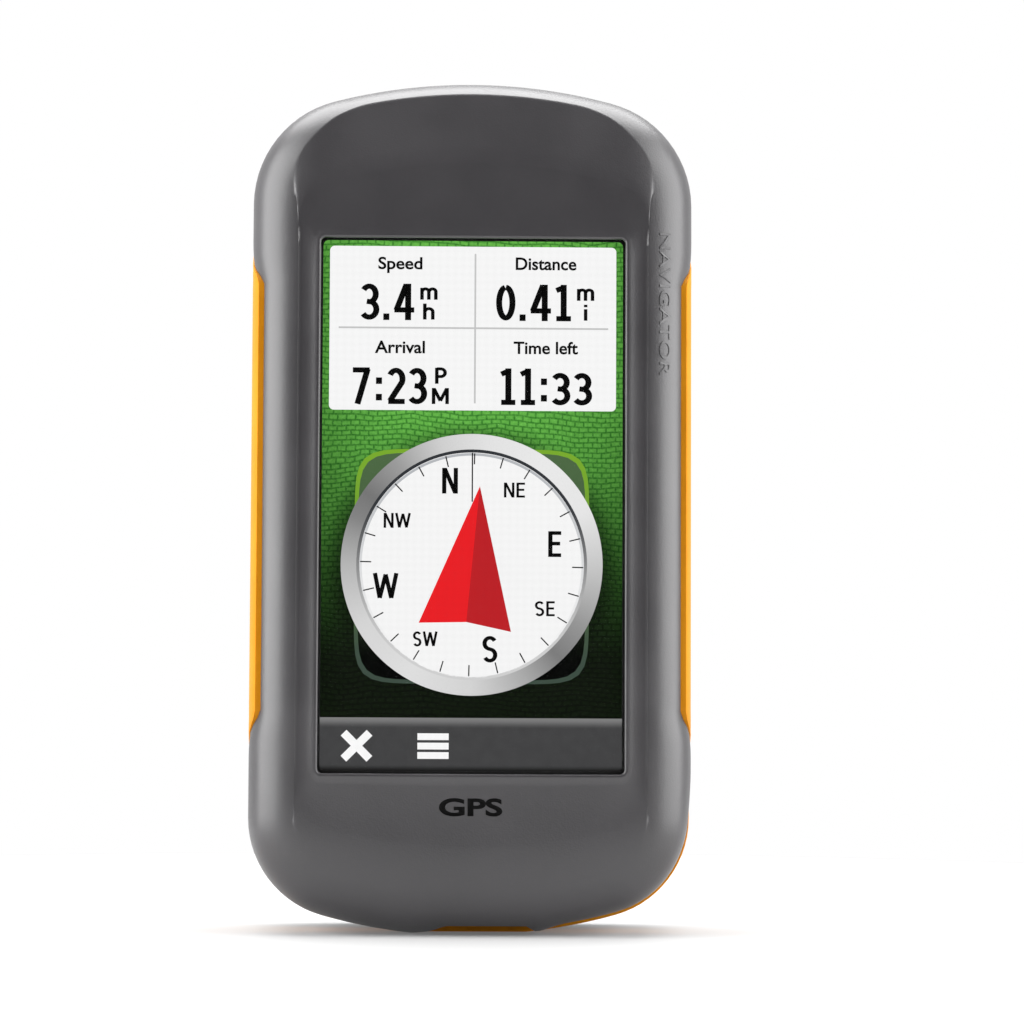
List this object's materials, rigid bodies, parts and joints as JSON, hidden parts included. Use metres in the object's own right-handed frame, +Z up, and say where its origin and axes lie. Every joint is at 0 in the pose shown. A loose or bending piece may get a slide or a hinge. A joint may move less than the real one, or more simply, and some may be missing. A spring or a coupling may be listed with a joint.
{
  "type": "portable gps navigator",
  "caption": "Upright hand-held satellite navigator with a touch screen, two-part shell around a coloured frame, shoulder power key and latched battery door.",
  "frame": {"origin": "middle of the flat foot at the bottom end of the case", "axes": "+X to the viewer's right of the screen, screen faces -Y, +Z up along the case"},
  "size_m": [0.0748, 0.0364, 0.1442],
  "materials": {
    "casing": "fine moulded texture",
    "accent": "satin",
    "window": "polished",
    "display": "lit picture",
    "rubber": "matte",
    "sheet_metal": "rolled",
    "chassis_metal": "die cast",
    "circuit_board": "solder mask",
    "dark_plastic": "moulded",
    "flex_film": "film",
    "ceramic_white": "satin",
    "brass_plate": "plated",
    "screw_steel": "satin",
    "label": "printed film"
  },
  "bodies": {
    "root": {"front_bezel": "casing", "display_window": "window", "window_gasket": "rubber", "lcd_panel": "display", "lcd_tray": "sheet_metal", "display_flex": "flex_film", "inner_chassis": "chassis_metal", "main_board": "circuit_board", "processor_shield": "sheet_metal", "receiver_shield": "sheet_metal", "power_shield": "sheet_metal", "display_connector": "ceramic_white", "beeper": "dark_plastic", "backup_cell": "sheet_metal", "compass_sensor": "dark_plastic", "pressure_sensor": "sheet_metal", "antenna_cradle": "dark_plastic", "helix_antenna": "ceramic_white", "board_screw_1": "screw_steel", "board_screw_2": "screw_steel", "mid_frame": "accent", "housing_seal": "rubber", "power_switch": "sheet_metal", "rear_housing": "casing", "dock_contacts": "dark_plastic", "pressure_vent": "label", "io_board": "circuit_board", "usb_socket": "sheet_metal", "headphone_jack": "dark_plastic", "antenna_socket": "brass_plate", "card_socket": "sheet_metal", "rating_label": "label", "battery_contacts": "brass_plate", "case_screw_1": "screw_steel", "case_screw_2": "screw_steel", "case_screw_3": "screw_steel", "case_screw_4": "screw_steel"},
    "key": {"power_key": "casing"},
    "door": {"battery_door": "casing", "door_seal": "rubber", "latch_washer": "rubber"},
    "battery": {"battery_pack": "dark_plastic"},
    "latch": {"latch_cam": "dark_plastic", "latch_bar": "sheet_metal", "d_ring_pin": "screw_steel"},
    "ring": {"d_ring": "screw_steel"},
    "io_cap": {"io_cap": "rubber"},
    "antenna_cap": {"antenna_cap": "rubber"},
    "card": {"memory_card": "dark_plastic"}
  },
  "joints": [
    {"name": "power_key_press", "type": "slide", "parent": "root", "child": "key", "axis": [-0.6561, 0, -0.7547], "range_m": [0, 0.00045], "stiffness_N_per_m": 2500},
    {"name": "door_lift", "type": "slide", "parent": "root", "child": "door", "axis": [0, 1, 0], "range_m": [0, 0.036]},
    {"name": "battery_lift", "type": "slide", "parent": "root", "child": "battery", "axis": [0, 1, 0], "range_m": [0, 0.018]},
    {"name": "latch_turn", "type": "hinge", "parent": "door", "child": "latch", "pos_m": [0, 0.016, 0.0245], "axis": [0, 1, 0], "range_deg": [0, 90]},
    {"name": "d_ring_fold", "type": "hinge", "parent": "latch", "child": "ring", "pos_m": [0, 0.0165, 0.0265], "axis": [1, 0, 0], "range_deg": [0, 90]},
    {"name": "io_cap_open", "type": "hinge", "parent": "root", "child": "io_cap", "pos_m": [-0.0359, 0.013, 0.103], "axis": [0, 0, -1], "range_deg": [0, 100]},
    {"name": "antenna_cap_open", "type": "hinge", "parent": "root", "child": "antenna_cap", "pos_m": [0.02, 0.01745, 0.1189], "axis": [1, 0, 0], "range_deg": [0, 100]},
    {"name": "card_eject", "type": "slide", "parent": "root", "child": "card", "axis": [0, 0, -1], "range_m": [0, 0.005]}
  ],
  "couplings": [
    {"joint": "battery_lift", "follows": "door_lift", "ratio": 0.5}
  ]
}
